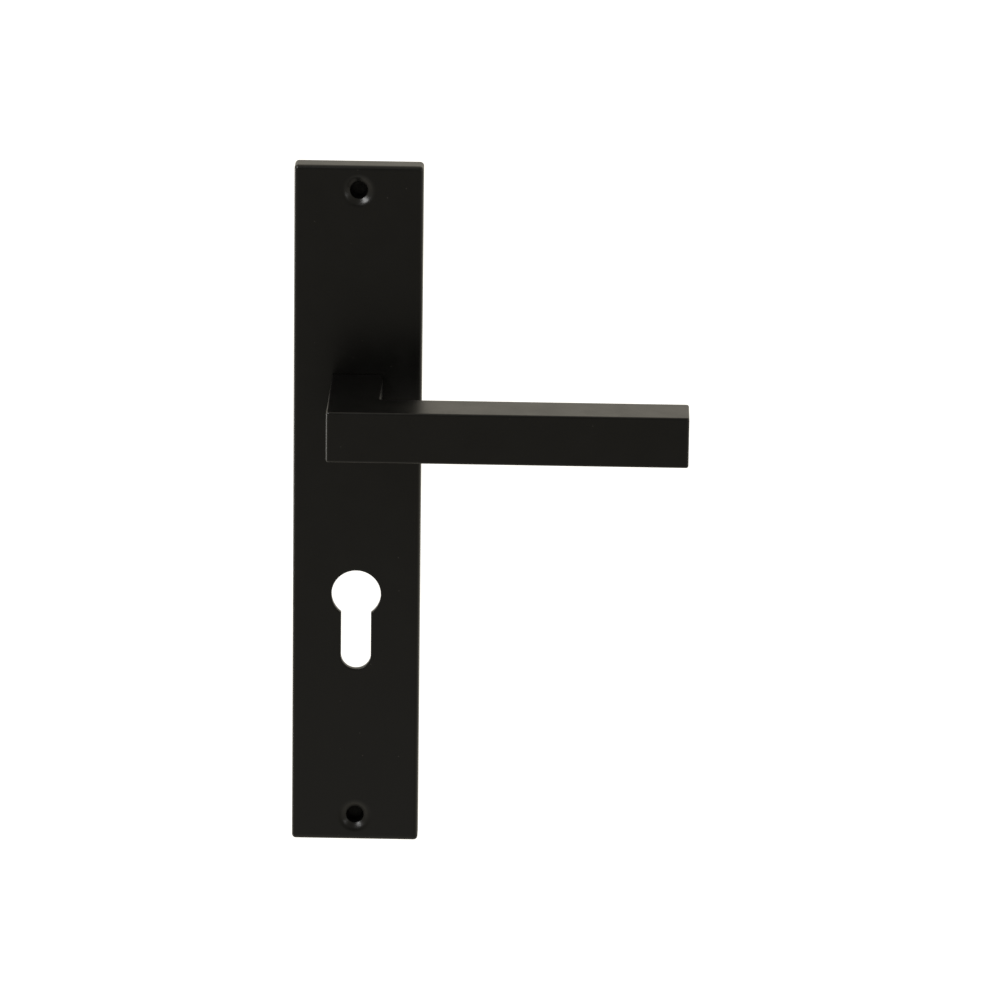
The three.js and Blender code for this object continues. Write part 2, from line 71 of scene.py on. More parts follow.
FRONT_WALL = 2.4
RIM = 2.2
EDGE_RADIUS = 1.2
CORNER_RADIUS = 1.4
RIB = 1.7
RIB_SETBACK = 1.0
HOUSING_TO_RIB = 3.0
END_TO_SCREW = 9.0
SCREW_HOLE = 2.85  # radius, as all the hole sizes here
COUNTERSINK = 5.2
COUNTERSINK_DEPTH = 1.6
SCREW_BOSS = 6.2
PILOT_HOLE = 1.35  # for the housing's screws, in the plate and in the housing
PIN_HOLE = 1.6
PILOT_DEPTH = 1.8
EJECTOR_MARK = 2.4
EJECTOR_DEPTH = 0.12
CUTOUT_CIRCLE = 8.7
CUTOUT_SLOT = 5.3  # half its width
CUTOUT_HEIGHT = 36.5
CUTOUT_MARGIN = 4.5
SPINDLE_TO_CYLINDER = 72.0

BAR = 18.0
LEVER_EDGE = 0.85
LEVER_CORNER = 1.0
SPIGOT = 7.5
SPIGOT_FLAT = 6.4
SOCKET = 4.15
GROOVE = 6.7
GROOVE_PLAY = 0.1
GRUB_HOLE = 3.2

BORE = 8.6
COIL_RADIUS = 13.5
COIL_PITCH = 1.25
WIRE = 0.55
HOUSING_HOLLOW = 15.6
HOUSING_FLOOR = 0.5
HOUSING_SCREW_OFFSET = 15.2
STOP_CIRCLE = 17.6
CAM_DISC = 12.0
CAM_ARM = 3.0  # half its width
CAM_REACH = 19.6
ARM_FLARE = 2.0
LEG_HOLE = 0.95
GAP = 0.3

ROUND = 96  # sides of a large circle
SMALL = 40  # sides of a small one
OVERLAP = 0.5  # how far a body reaches into one that it is joined to
PAST = 1.0  # how far a cutting body reaches past the surface it cuts
SLIVER = 0.01  # a step that is too small to see


def span(node):
    """A CAD node's lowest and highest corner, in millimetres."""
    low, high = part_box(node)
    return low / MM, high / MM


plate_low, plate_high = span("backplate")
lever_low, lever_high = span("lever_handle")
housing_low, housing_high = span("spring_housing")
cam_low, cam_high = span("drive_cam")

plate_front = plate_low.y
wall_back = plate_front + FRONT_WALL
neck_root = plate_front - GAP
bar_back = lever_low.y + BAR
half = BAR / 2
cylinder_z = -SPINDLE_TO_CYLINDER
cutout_top = cylinder_z + CUTOUT_CIRCLE
cutout_bottom = cutout_top - CUTOUT_HEIGHT
screw_heights = (plate_high.z - END_TO_SCREW, plate_low.z + END_TO_SCREW)
travel = record["behaviour"]["joints"][0]["range_deg"][1]
arm_rest = -travel / 2  # the cam arm's direction at rest, in degrees from +Z towards +X
pin_low, pin_high = span("stop_pin_down")
stop_angle = math.degrees(math.asin((pin_low.x + pin_high.x) / 2 / STOP_CIRCLE))

# ---------------------------------------------------------------- outlines and profiles


def arc(x, y, radius, start, end, steps):
    """Points on an arc, with its angles in degrees from the first axis towards the second."""
    angles = [math.radians(start + (end - start) * i / steps) for i in range(steps + 1)]
    return [(x + radius * math.cos(a), y + radius * math.sin(a)) for a in angles]


def polar(radius, angle):
    """The point at an angle in degrees from +Z towards +X."""
    return radius * math.sin(math.radians(angle)), radius * math.cos(math.radians(angle))


# An outline is a function that gives its points with the edge moved a distance into the material.


def circle(radius=0.0, x=0.0, z=0.0, steps=ROUND):
    """A round outline whose radius grows with the inset, or is the inset where no radius is given."""

    def outline(inset):
        return arc(x, z, radius + inset, 0, 360, steps)[:-1]

    return outline


def rectangle(low, high, radius, least=0.05, steps=5):
    """A rectangle with round corners, whose radius stays above a least value as the inset grows."""

    def outline(inset):
        r = max(radius - inset, least)
        x0, z0, x1, z1 = low[0] + inset + r, low[1] + inset + r, high[0] - inset - r, high[1] - inset - r
        corners = [(x1, z0, -90), (x1, z1, 0), (x0, z1, 90), (x0, z0, 180)]
        return [p for x, z, start in corners for p in arc(x, z, r, start, start + 90, steps)]

    return outline


def square(half_side, radius):
    """A square outline with round corners, about the origin."""
    return rectangle((-half_side, -half_side), (half_side, half_side), radius)


def keyhole(inset):
    """The profile cylinder's cut-out, a circle with a round-ended slot below it."""
    r, s = CUTOUT_CIRCLE + inset, CUTOUT_SLOT + inset
    meet = math.degrees(math.asin(s / r))
    bottom = arc(0, cutout_bottom + CUTOUT_SLOT, s, 180, 360, SMALL)
    return arc(0, cylinder_z, r, -90 + meet, 270 - meet, ROUND) + bottom


LEAST_MITRE = 0.5  # keeps the point of a sharp corner from running far


def moved(points):
    """An outline from a plain list of points, whose inset moves each point along its own normal."""
    area = sum(a[0] * b[1] - b[0] * a[1] for a, b in zip(points, points[1:] + points[:1]))
    side = 1 if area > 0 else -1

    def outline(inset):
        result = []
        for i, here in enumerate(points):
            p, before = Vector(here), Vector(points[i - 1])
            after = Vector(points[(i + 1) % len(points)])
            a, b = (p - before).normalized(), (after - p).normalized()
            normal = Vector((-(a.y + b.y), a.x + b.x)).normalized() * side
            mitre = max(normal.dot(Vector((-a.y, a.x)) * side), LEAST_MITRE)
            result.append(tuple(p + normal * inset / mitre))
        return result

    return outline


def softened(points, radius=0.15, steps=4, closed=False):
    """A line of (inset, depth) points with its corners rounded; a third number is a corner's own radius."""
    count = len(points)
    plain = [Vector(p[:2]) for p in points]
    line = [] if closed else [tuple(plain[0])]
    for i in range(0 if closed else 1, count if closed else count - 1):
        here, before, after = plain[i], plain[i - 1], plain[(i + 1) % count]
        own = points[i][2] if len(points[i]) > 2 else radius
        into, out = before - here, after - here
        share = [1.0 if not closed and edge else 0.5 for edge in (i == 1, i == count - 2)]
        reach = min(own, into.length * share[0], out.length * share[1])
        start, end = here + into.normalized() * reach, here + out.normalized() * reach
        for step in range(steps + 1):
            t = step / steps
            line.append(tuple(start * (1 - t) ** 2 + here * 2 * t * (1 - t) + end * t * t))
    if not closed:
        line.append(tuple(plain[-1]))
    return line


# ---------------------------------------------------------------- surfaces

MERGE_DISTANCE = 1e-4


def sweep(mesh, outline, profile, upright=False, closed=False):
    """Carries an outline along a profile of (inset, depth), and gives its first and last ring of vertices.
    The depth runs along Y and the outline lies in XZ, or along Z and in XY where upright."""
    rings = []
    for inset, depth in profile:
        points = outline(inset)
        corners = [(a, b, depth) if upright else (a, depth, b) for a, b in points]
        rings.append([mesh.verts.new(corner) for corner in corners])
    pairs = list(zip(rings, rings[1:]))
    if closed:
        pairs.append((rings[-1], rings[0]))
    for one, other in pairs:
        for i, vertex in enumerate(one):
            j = (i + 1) % len(one)
            mesh.faces.new((vertex, one[j], other[j], other[i])).smooth = True
    return rings[0], rings[-1]


def cap(mesh, *rings):
    """Fills the flat face that is bounded by rings of vertices."""
    edges = []
    for ring in rings:
        edges += [mesh.edges.get((a, b)) for a, b in zip(ring, ring[1:] + ring[:1])]
    bmesh.ops.triangle_fill(mesh, use_beauty=True, edges=edges)


def prism(mesh, outline, profile, upright=False):
    """A closed body: an outline carried along a profile, with flat ends."""
    for ring in sweep(mesh, outline, profile, upright):
        cap(mesh, ring)


def turned(profile, x=0.0, z=0.0, steps=ROUND, closed=True):
    """A body turned about an axis along Y, from (radius, depth) points. An open line gets flat ends."""
    mesh = bmesh.new()
    if closed:
        sweep(mesh, circle(x=x, z=z, steps=steps), profile, closed=True)
    else:
        prism(mesh, circle(x=x, z=z, steps=steps), profile)
    return mesh


def closed_up(mesh):
    """Joins the points that meet, and turns all faces outwards."""
    bmesh.ops.remove_doubles(mesh, verts=mesh.verts, dist=MERGE_DISTANCE)
    bmesh.ops.recalc_face_normals(mesh, faces=mesh.faces)


def temporary(mesh, collection):
    """An object that lasts only as long as a boolean needs it."""
    closed_up(mesh)
    data = bpy.data.meshes.new("temporary")
    mesh.to_mesh(data)
    mesh.free()
    obj = bpy.data.objects.new("temporary", data)
    collection.objects.link(obj)
    return obj


def combined(base, operation, tools):
    """A body with others joined to it (UNION) or cut from it (DIFFERENCE)."""
    shelf = bpy.data.collections.new("shelf")
    bpy.context.scene.collection.children.link(shelf)
    holder = temporary(base, bpy.context.scene.collection)
    cutters = [temporary(tool, shelf) for tool in tools]
    modifier = holder.modifiers.new("combine", "BOOLEAN")
    modifier.operation = operation
    modifier.operand_type = "COLLECTION"
    modifier.collection = shelf
    modifier.solver = "EXACT"
    bpy.context.view_layer.update()
    result = bmesh.new()
    result.from_object(holder, bpy.context.evaluated_depsgraph_get())
    for obj in [holder, *cutters]:
        bpy.data.objects.remove(obj)
    bpy.data.collections.remove(shelf)
    return result


SLOTS = {row["node"]: row["material_slot"] for row in record["subparts"]}
BODIES = {node: body for body, nodes in record["behaviour"]["bodies"].items() for node in nodes}
SHARP_ANGLE = 35.0  # degrees, above which an edge is shaded as sharp
finishes = {}


def piece(node, mesh, rides=True):
    """Turns a body into the visible piece that stands for a CAD node, in that node's slot and on its body."""
    closed_up(mesh)
    mesh.transform(Matrix.Scale(MM, 4))
    data = bpy.data.meshes.new(node + "_finished")
    mesh.to_mesh(data)
    mesh.free()
    data.shade_smooth()
    data.set_sharp_from_angle(angle=math.radians(SHARP_ANGLE))
    data.materials.append(finishes[SLOTS[node]])
    obj = bpy.data.objects.new(node + "_finished", data)
    bpy.context.scene.collection.objects.link(obj)
    weights = obj.modifiers.new("flat faces stay flat", "WEIGHTED_NORMAL")
    weights.keep_sharp = True
    if rides:
        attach(obj, BODIES[node])
    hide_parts(node)
    return obj


# ---------------------------------------------------------------- finishes

MIX_FIRST, MIX_SECOND, MIX_RESULT = 6, 7, 2  # a Mix node's sockets for colours
FLAT_DOT, EDGE_DOT = 0.98, 0.75  # a rounded normal's dot product with the true one, on faces and on edges


class Finish:
    """A material that is put together from noise, bumps and edge wear in the object's own coordinates."""

    def __init__(self, slot, color, roughness, metallic=0.0, **constants):
        self.material = bpy.data.materials.new(slot + "_finish")
        self.material.use_nodes = True
        self.tree = self.material.node_tree
        self.shader = self.tree.nodes["Principled BSDF"]
        self.position = self.add("ShaderNodeTexCoord").outputs["Object"]
        self.color = self.constant_color(color)
        self.roughness = None
        self.normal = None
        self.base_roughness = roughness
        self.shader.inputs["Metallic"].default_value = metallic
        for name, value in constants.items():
            self.shader.inputs[name.replace("_", " ")].default_value = value
        finishes[slot] = self.material

    def add(self, kind, **settings):
        node = self.tree.nodes.new(kind)
        for name, value in settings.items():
            setattr(node, name, value)
        return node

    def link(self, source, target):
        if isinstance(source, (int, float)):
            target.default_value = source
        else:
            self.tree.links.new(source, target)

    def constant_color(self, color):
        node = self.add("ShaderNodeRGB")
        node.outputs[0].default_value = (*color, 1)
        return node.outputs[0]

    def stretched(self, stretch):
        mapping = self.add("ShaderNodeMapping")
        mapping.inputs["Scale"].default_value = stretch
        self.link(self.position, mapping.inputs["Vector"])
        return mapping.outputs[0]

    def noise(self, size, detail=3.0, stretch=None):
        """Noise from 0 to 1, whose features have a size in millimetres."""
        node = self.add("ShaderNodeTexNoise")
        self.link(self.stretched(stretch) if stretch else self.position, node.inputs["Vector"])
        node.inputs["Scale"].default_value = 1 / (size * MM)
        node.inputs["Detail"].default_value = detail
        return node.outputs["Fac"]

    def cells(self, size):
        """The distance to scattered points, in cells of a size in millimetres."""
        node = self.add("ShaderNodeTexVoronoi", feature="F1")
        self.link(self.position, node.inputs["Vector"])
        node.inputs["Scale"].default_value = 1 / (size * MM)
        return node.outputs["Distance"]

    def spread(self, value, low, high, to_low=0.0, to_high=1.0):
        """Stretches a value's range to another, and keeps it inside."""
        node = self.add("ShaderNodeMapRange")
        for name, number in zip(("From Min", "From Max", "To Min", "To Max"), (low, high, to_low, to_high)):
            node.inputs[name].default_value = number
        self.link(value, node.inputs["Value"])
        return node.outputs[0]

    def math(self, operation, a, b):
        node = self.add("ShaderNodeMath", operation=operation)
        self.link(a, node.inputs[0])
        self.link(b, node.inputs[1])
        return node.outputs[0]

    def tint(self, mask, color):
        """Lays a colour over what is there, where the mask is 1."""
        node = self.add("ShaderNodeMix", data_type="RGBA")
        self.link(mask, node.inputs["Factor"])
        self.link(self.color, node.inputs[MIX_FIRST])
        node.inputs[MIX_SECOND].default_value = (*color, 1)
        self.color = node.outputs[MIX_RESULT]

    def wear(self, radius, amount, color):
        """Lays a colour over the edges that are tighter than a radius."""
        self.tint(self.math("MULTIPLY", self.edges(radius), amount), color)

    def vary_roughness(self, mask, change):
        base = self.base_roughness if self.roughness is None else self.roughness
        self.roughness = self.math("ADD", base, self.math("MULTIPLY", mask, change))

    def bump(self, height, depth, strength=1.0):
        """Raises the surface by a height from 0 to 1 times a depth in millimetres."""
        node = self.add("ShaderNodeBump")
        node.inputs["Distance"].default_value = depth * MM
        node.inputs["Strength"].default_value = strength
        self.link(height, node.inputs["Height"])
        if self.normal is not None:
            self.link(self.normal, node.inputs["Normal"])
        self.normal = node.outputs[0]

    def edges(self, radius):
        """1 on edges tighter than a radius in millimetres, and 0 on flat faces."""
        bevel = self.add("ShaderNodeBevel", samples=6)
        bevel.inputs["Radius"].default_value = radius * MM
        true_normal = self.add("ShaderNodeNewGeometry").outputs["Normal"]
        dot = self.add("ShaderNodeVectorMath", operation="DOT_PRODUCT")
        self.link(bevel.outputs[0], dot.inputs[0])
        self.link(true_normal, dot.inputs[1])
        return self.spread(dot.outputs["Value"], FLAT_DOT, EDGE_DOT)

    def done(self):
        self.link(self.color, self.shader.inputs["Base Color"])
        rough = self.base_roughness if self.roughness is None else self.roughness
        self.link(rough, self.shader.inputs["Roughness"])
        if self.normal is not None:
            self.link(self.normal, self.shader.inputs["Normal"])


def black_coat():
    """Satin powder coat: fine orange peel, a broken sheen, sparse dust and thin edges."""
    f = Finish("black_coat", (0.0008, 0.00075, 0.00065), 0.28)
    cloud = f.noise(14, 4)
    f.tint(f.spread(cloud, 0.4, 0.7), (0.0014, 0.0013, 0.0011))
    grain = f.noise(0.35, 2)
    f.tint(f.spread(grain, 0.62, 0.78, 0, 0.5), (0.0045, 0.0042, 0.0036))
    f.wear(0.45, f.spread(f.noise(1.6, 4), 0.35, 0.7, 0.1, 0.5), (0.04, 0.039, 0.036))
    dust = f.spread(f.cells(5.5), 0.035, 0.02)
    f.tint(f.math("MULTIPLY", dust, 0.55), (0.12, 0.115, 0.105))
    f.vary_roughness(f.spread(f.noise(9, 5), 0.35, 0.65), 0.05)
    f.vary_roughness(f.spread(grain, 0.4, 0.7), 0.04)
    f.bump(f.noise(0.9, 2), 0.02, 0.45)
    f.bump(grain, 0.008, 0.6)
    f.done()


def black_nylon():
    """Moulded nylon: matt, with a faint cloud."""
    f = Finish("black_nylon", (0.003, 0.003, 0.003), 0.5)
    f.tint(f.spread(f.noise(1.5, 3), 0.4, 0.7), (0.006, 0.006, 0.0061))
    f.vary_roughness(f.noise(0.6, 3), 0.15)
    f.bump(f.noise(0.3, 2), 0.01)
    f.done()


def white_nylon():
    """Natural nylon: a little translucent, and stained in places by grease."""
    f = Finish("white_nylon", (0.72, 0.70, 0.63), 0.42, Subsurface_Weight=0.12, Subsurface_Scale=0.001)
    f.tint(f.spread(f.noise(5, 3), 0.4, 0.7, 0, 0.6), (0.62, 0.60, 0.52))
    grease = f.spread(f.noise(2.2, 5), 0.58, 0.7, 0, 0.55)
    f.tint(grease, (0.36, 0.33, 0.26))
    f.vary_roughness(f.spread(grease, 0, 0.5), -0.15)
    f.bump(f.noise(0.35, 3), 0.012)
    f.done()


def cast_zinc():
    """Bare die casting: dull, mottled by flow, and a little pitted."""
    f = Finish("cast_zinc", (0.30, 0.31, 0.325), 0.48, 0.85)
    f.tint(f.spread(f.noise(4, 6, (1, 1, 0.45)), 0.38, 0.66), (0.20, 0.205, 0.215))
    f.tint(f.spread(f.noise(0.5, 4), 0.55, 0.75, 0, 0.6), (0.42, 0.43, 0.44))
    f.wear(0.5, 0.7, (0.5, 0.51, 0.52))
    pits = f.spread(f.cells(1.7), 0.16, 0.05)
    f.tint(f.math("MULTIPLY", pits, 0.7), (0.09, 0.09, 0.095))
    f.vary_roughness(f.spread(f.noise(3, 5), 0.35, 0.65), 0.16)
    f.bump(f.noise(1.1, 4), 0.035)
    f.bump(f.noise(0.25, 3), 0.014)
    f.done()


def zinc_plated_steel():
    """Bright zinc plate: bluish with slightly duller clouds, and fine rolling lines."""
    f = Finish("zinc_plated_steel", (0.50, 0.52, 0.56), 0.26, 1.0)
    f.tint(f.spread(f.noise(11, 3), 0.35, 0.7), (0.535, 0.54, 0.535))
    f.tint(f.spread(f.noise(1.1, 5), 0.56, 0.78, 0, 0.3), (0.40, 0.41, 0.43))
    f.wear(0.3, 0.6, (0.78, 0.79, 0.80))
    lines = f.noise(0.16, 3, (1, 0.04, 1))
    f.vary_roughness(f.spread(lines, 0.35, 0.65), 0.12)
    f.vary_roughness(f.spread(f.noise(3.5, 5), 0.4, 0.75), 0.10)
    f.bump(lines, 0.008, 0.7)
    f.bump(f.noise(0.7, 3), 0.01)
    f.done()


def spring_steel():
    """Drawn wire: dark, oiled, and brighter on its edges."""
    f = Finish("spring_steel", (0.24, 0.25, 0.265), 0.24, 1.0)
    f.tint(f.spread(f.noise(2.4, 4), 0.42, 0.68), (0.16, 0.16, 0.165))
    f.wear(0.15, 0.5, (0.42, 0.43, 0.44))
    f.vary_roughness(f.spread(f.noise(0.5, 4), 0.4, 0.7), 0.16)
    f.bump(f.noise(0.12, 3), 0.004)
    f.done()


def dark_steel():
    """Black-oxide steel, oiled, and rubbed through to the metal on its edges."""
    f = Finish("dark_steel", (0.03, 0.031, 0.034), 0.34, 0.75)
    f.tint(f.spread(f.noise(1.4, 4), 0.42, 0.7), (0.055, 0.053, 0.05))
    f.wear(0.2, f.spread(f.noise(0.6, 4), 0.4, 0.65, 0, 0.8), (0.3, 0.3, 0.31))
    f.vary_roughness(f.spread(f.noise(0.8, 4), 0.4, 0.7), 0.18)
    f.bump(f.noise(0.2, 3), 0.006)
    f.done()


black_coat()
black_nylon()
white_nylon()
cast_zinc()
zinc_plated_steel()
spring_steel()
dark_steel()

# ---------------------------------------------------------------- backplate

EDGE_REACH = 1.35 * EDGE_RADIUS  # how far the front edge's rounding reaches along the faces
FACE_START = 1.9  # from the plate's edge in to where its flat face begins
COUNTERSINK_START = COUNTERSINK + 1.1
EJECTOR_X = 12.5
EJECTOR_HEIGHTS = (66, 47.5, 30.5, -29, -50, -110, -130, -147)


def rib(low, high):
    """A drafted rib with a rounded top, rooted in the plate's front wall."""
    mesh = bmesh.new()
    root, top = wall_back - OVERLAP, plate_high.y - RIB_SETBACK
    prism(mesh, rectangle(low, high, 0.3), softened([(-0.3, root), (0.2, top, 0.45), (0.7, top)]))
    return mesh


def plate_ribs():
    """The ribs across the hollow back, and the one down its middle in three lengths."""
    edge = housing_high.z + HOUSING_TO_RIB
    recess_top, recess_bottom = cutout_top + CUTOUT_MARGIN, cutout_bottom - CUTOUT_MARGIN
    upper, lower = screw_heights
    third, lower_third = (upper - edge) / 3, (recess_bottom - lower) / 3
    crossings = [edge, edge + third, edge + 2 * third, -edge, (recess_top - edge) / 2, recess_top]
    crossings += [recess_bottom - lower_third * i for i in range(3)]
    reach, w = plate_high.x - RIM / 2, RIB / 2
    boss = SCREW_BOSS - PAST
    spans = [(edge, upper - boss), (recess_top, -edge), (lower + boss, recess_bottom)]
    across = [rib((-reach, z - w), (reach, z + w)) for z in crossings]
    return across + [rib((-w, low), (w, high)) for low, high in spans]


def backplate():
    """The casting: a front wall with a rim, ribs, screw bosses, pilot holes and ejector marks behind it."""
    mesh = bmesh.new()
    front, back = plate_front, plate_high.y
    outer = rectangle((plate_low.x, plate_low.z), (plate_high.x, plate_high.z), CORNER_RADIUS, least=0.3)
    profile = [(FACE_START, front), (0, front, EDGE_REACH), (0, back, 0.2), (RIM, back, 0.25)]
    profile += [(RIM + 0.1, wall_back, 0.7), (RIM + 1, wall_back)]
    rings = [sweep(mesh, outer, softened(profile, steps=6))]

    profile = [(1, front), (0, front, 0.45), (0, wall_back, 0.3), (0.8, wall_back)]
    rings.append(sweep(mesh, keyhole, softened(profile)))
    profile = [(0.6, front), (0, front), (0, wall_back), (0.6, wall_back)]
    rings.append(sweep(mesh, circle(BORE), softened(profile)))

    retainer_low, retainer_high = span("screw_retainer_upper")
    pocket, pocket_radius = retainer_low.y - GAP, retainer_high.x + GAP
    bevel_end = front + COUNTERSINK_DEPTH
    profile = [(COUNTERSINK_START, front), (COUNTERSINK, front, 1.0), (SCREW_HOLE, bevel_end, 0.5)]
    profile += [(SCREW_HOLE, pocket), (pocket_radius, pocket), (pocket_radius, back), (SCREW_BOSS, back, 0.4)]
    profile += [(SCREW_BOSS + 0.2, wall_back, 0.8), (SCREW_BOSS + 1.4, wall_back)]
    rings += [sweep(mesh, circle(z=z), softened(profile)) for z in screw_heights]

    floor = [last for first, last in rings]
    places = [(x, z, PILOT_HOLE, PILOT_DEPTH) for x, z in screw_places()]
    places += [(x, z, PIN_HOLE, PILOT_DEPTH) for x, z in pin_places()]
    places += [(x, z, EJECTOR_MARK, EJECTOR_DEPTH) for x, z in ejector_places()]
    for x, z, radius, depth in places:
        line = softened([(radius + 0.3, wall_back), (radius, wall_back, 0.1), (radius, wall_back - depth)])
        start, end = sweep(mesh, circle(x=x, z=z, steps=SMALL), line)
        cap(mesh, end)
        floor.append(start)
    cap(mesh, *[first for first, last in rings])
    cap(mesh, *floor)
    piece("backplate", combined(mesh, "UNION", plate_ribs()))


def screw_places():
    """The corners of the square on which the housing's screws stand."""
    d = HOUSING_SCREW_OFFSET
    return [(-d, d), (d, d), (-d, -d), (d, -d)]


def pin_places():
    """Where the stop pins stand, one on each side of the cam arm's travel."""
    return [polar(STOP_CIRCLE, -stop_angle), polar(STOP_CIRCLE, stop_angle)]


def ejector_places():
    """The round marks that the casting die's ejector pins leave behind the plate."""
    return [(x, z) for x in (-EJECTOR_X, EJECTOR_X) for z in EJECTOR_HEIGHTS]


# ---------------------------------------------------------------- lever, spindle and grub screw

SPIGOT_CHAMFER = 0.6
SPINDLE_EDGE = 0.55
SPINDLE_TAPER = 0.7
SPINDLE_TAPER_LENGTH = 0.9
GRUB_CHAMFER = 0.3
GRUB_END = 2.2  # radius of its flat ends
GRUB_PITCH = 0.7
GRUB_KEY = 1.7  # from the axis to the hexagon's corners
GRUB_KEY_DEPTH = 2.0

grub_low, grub_high = span("grub_screw")
grub_y = (grub_low.y + grub_high.y) / 2


def lever_outline(inset):
    """The bar and the neck seen from above, as one square section bent at a right angle."""
    r = LEVER_CORNER
    front, end = lever_low.y, lever_high.x
    corners = [(-half + r, front + r, 180), (end - r, front + r, 270), (end - r, bar_back - r, 0)]
    points = [p for x, y, start in corners for p in arc(x, y, r - inset, start, start + 90, 6)]
    points += arc(half + r, bar_back + r, r + inset, 270, 180, 6)
    return points + [(half - inset, neck_root - inset / 2), (-half + inset, neck_root - inset / 2)]


def spigot():
    """The turned end that carries the ring's groove and, from the cam back, two flats."""
    start = cam_low.y - GAP
    ring_low, ring_high = span("retaining_ring")
    groove = (ring_low.y - GROOVE_PLAY, ring_high.y + GROOVE_PLAY)
    end = lever_high.y
    profile = [(SPIGOT, neck_root - PAST), (SPIGOT, start - SLIVER), (SPIGOT, start), (SPIGOT, groove[0])]
    profile += [(GROOVE, groove[0]), (GROOVE, groove[1]), (SPIGOT, groove[1])]
    profile += [(SPIGOT, end - SPIGOT_CHAMFER), (SPIGOT - SPIGOT_CHAMFER, end)]
    mesh = turned(profile, closed=False)
    for vertex in mesh.verts:
        if vertex.co.y >= start:
            vertex.co.z = max(-SPIGOT_FLAT, min(SPIGOT_FLAT, vertex.co.z))
    return mesh


def lever_handle():
    """The casting of bar, neck and spigot, with the spindle's socket and the grub screw's hole."""
    block = bmesh.new()
    profile = [(LEVER_EDGE, -half), (0, -half, LEVER_EDGE), (0, half, LEVER_EDGE), (LEVER_EDGE, half)]
    prism(block, lever_outline, softened(profile, steps=6), upright=True)
    body = combined(block, "UNION", [spigot()])
    socket = bmesh.new()
    prism(socket, square(SOCKET, 0.5), [(0, span("spindle")[0].y - GAP), (0, lever_high.y + PAST)])
    hole = bmesh.new()
    profile = [(GRUB_HOLE + PAST + GRUB_CHAMFER, -half - PAST), (GRUB_HOLE, -half + GRUB_CHAMFER)]
    prism(hole, circle(z=grub_y, steps=SMALL), profile + [(GRUB_HOLE, 0)], upright=True)
    piece("lever_handle", combined(body, "DIFFERENCE", [socket, hole]))


def spindle():
    """A drawn square bar, tapered at the end that goes into the lock."""
    low, high = span("spindle")
    mesh = bmesh.new()
    taper_start = high.y - SPINDLE_TAPER_LENGTH
    profile = [(SPINDLE_EDGE, low.y), (0, low.y + SPINDLE_EDGE, 0.15), (0, taper_start, 0.3)]
    profile += [(SPINDLE_TAPER, high.y, 0.25), (2 * SPINDLE_TAPER, high.y)]
    prism(mesh, square(high.x, SPINDLE_EDGE), softened(profile))
    piece("spindle", mesh)


def ridges(radius, start, end, pitch, depth):
    """A thread's zigzag along a screw, as (radius, place) points."""
    turns = int(abs(end - start) / pitch)
    step = (end - start) / turns
    line = []
    for i in range(turns):
        line += [(radius - depth, start + step * i), (radius, start + step * (i + 0.5))]
    return line


def grub_screw():
    """A set screw with a hexagon socket in its lower end, and rings for its thread."""
    mesh = bmesh.new()
    low, high = grub_low.z, grub_high.z
    thread = ridges(grub_high.x, low + 0.35, high - 0.4, GRUB_PITCH, 0.28)
    profile = [(GRUB_END, low), (GRUB_END + 0.4, low), *thread, (GRUB_END, high)]
    bottom, top = sweep(mesh, circle(z=grub_y, steps=SMALL), profile, upright=True)

    def hexagon(inset):
        return arc(0, grub_y, GRUB_KEY - inset, 0, 360, 6)[:-1]

    profile = [(-0.12, low), (0, low + 0.15), (0, low + GRUB_KEY_DEPTH)]
    mouth, floor = sweep(mesh, hexagon, profile, upright=True)
    cap(mesh, bottom, mouth)
    cap(mesh, floor)
    cap(mesh, top)
    piece("grub_screw", mesh)


# ---------------------------------------------------------------- bearing and spring

BUSH_FLANGE = 0.8
TURNING_PLAY = 0.15  # round the spigot, in its bush and on its flats
GUIDE_PLAY = 0.4
GUIDE_GROOVE = 1.0  # half the width of the groove in its back
GUIDE_GROOVE_DEPTH = 0.8
HOUSING_CORNER = 2.5
LEG_SLOT = 1.0  # half its width
HEAD_HEIGHT = 1.1  # of the housing's screws, which lie sunk in pockets
HEAD_PLAY = 0.2  # under the head
HEAD_ROUNDING = 0.75
HEAD_TOP = 1.45
SHANK = 1.15
SCREW_PITCH = 0.5
SCREW_CROSS = (2.4, 0.62)  # its length and width


def neck_bush():
    """The flanged nylon bush in which the spigot turns."""
    low, high = span("neck_bush")
    inner, outer, flange = SPIGOT + TURNING_PLAY, BORE - GAP, high.y - BUSH_FLANGE
    section = [(inner, low.y), (outer, low.y), (outer, flange)]
    section += [(high.x, flange), (high.x, high.y), (inner, high.y)]
    piece("neck_bush", turned(softened(section, closed=True)))


def spring_guide():
    """The nylon collar inside the coil, with a groove round its back."""
    low, high = span("spring_guide")
    inner, outer = SPIGOT + GUIDE_PLAY, high.x
    middle, floor = (inner + outer) / 2, high.y - GUIDE_GROOVE_DEPTH
    near, far = middle - GUIDE_GROOVE, middle + GUIDE_GROOVE
    section = [(inner, low.y), (outer, low.y), (outer, high.y), (far, high.y), (far, floor)]
    section += [(near, floor), (near, high.y), (inner, high.y)]
    piece("spring_guide", turned(softened(section, closed=True)))


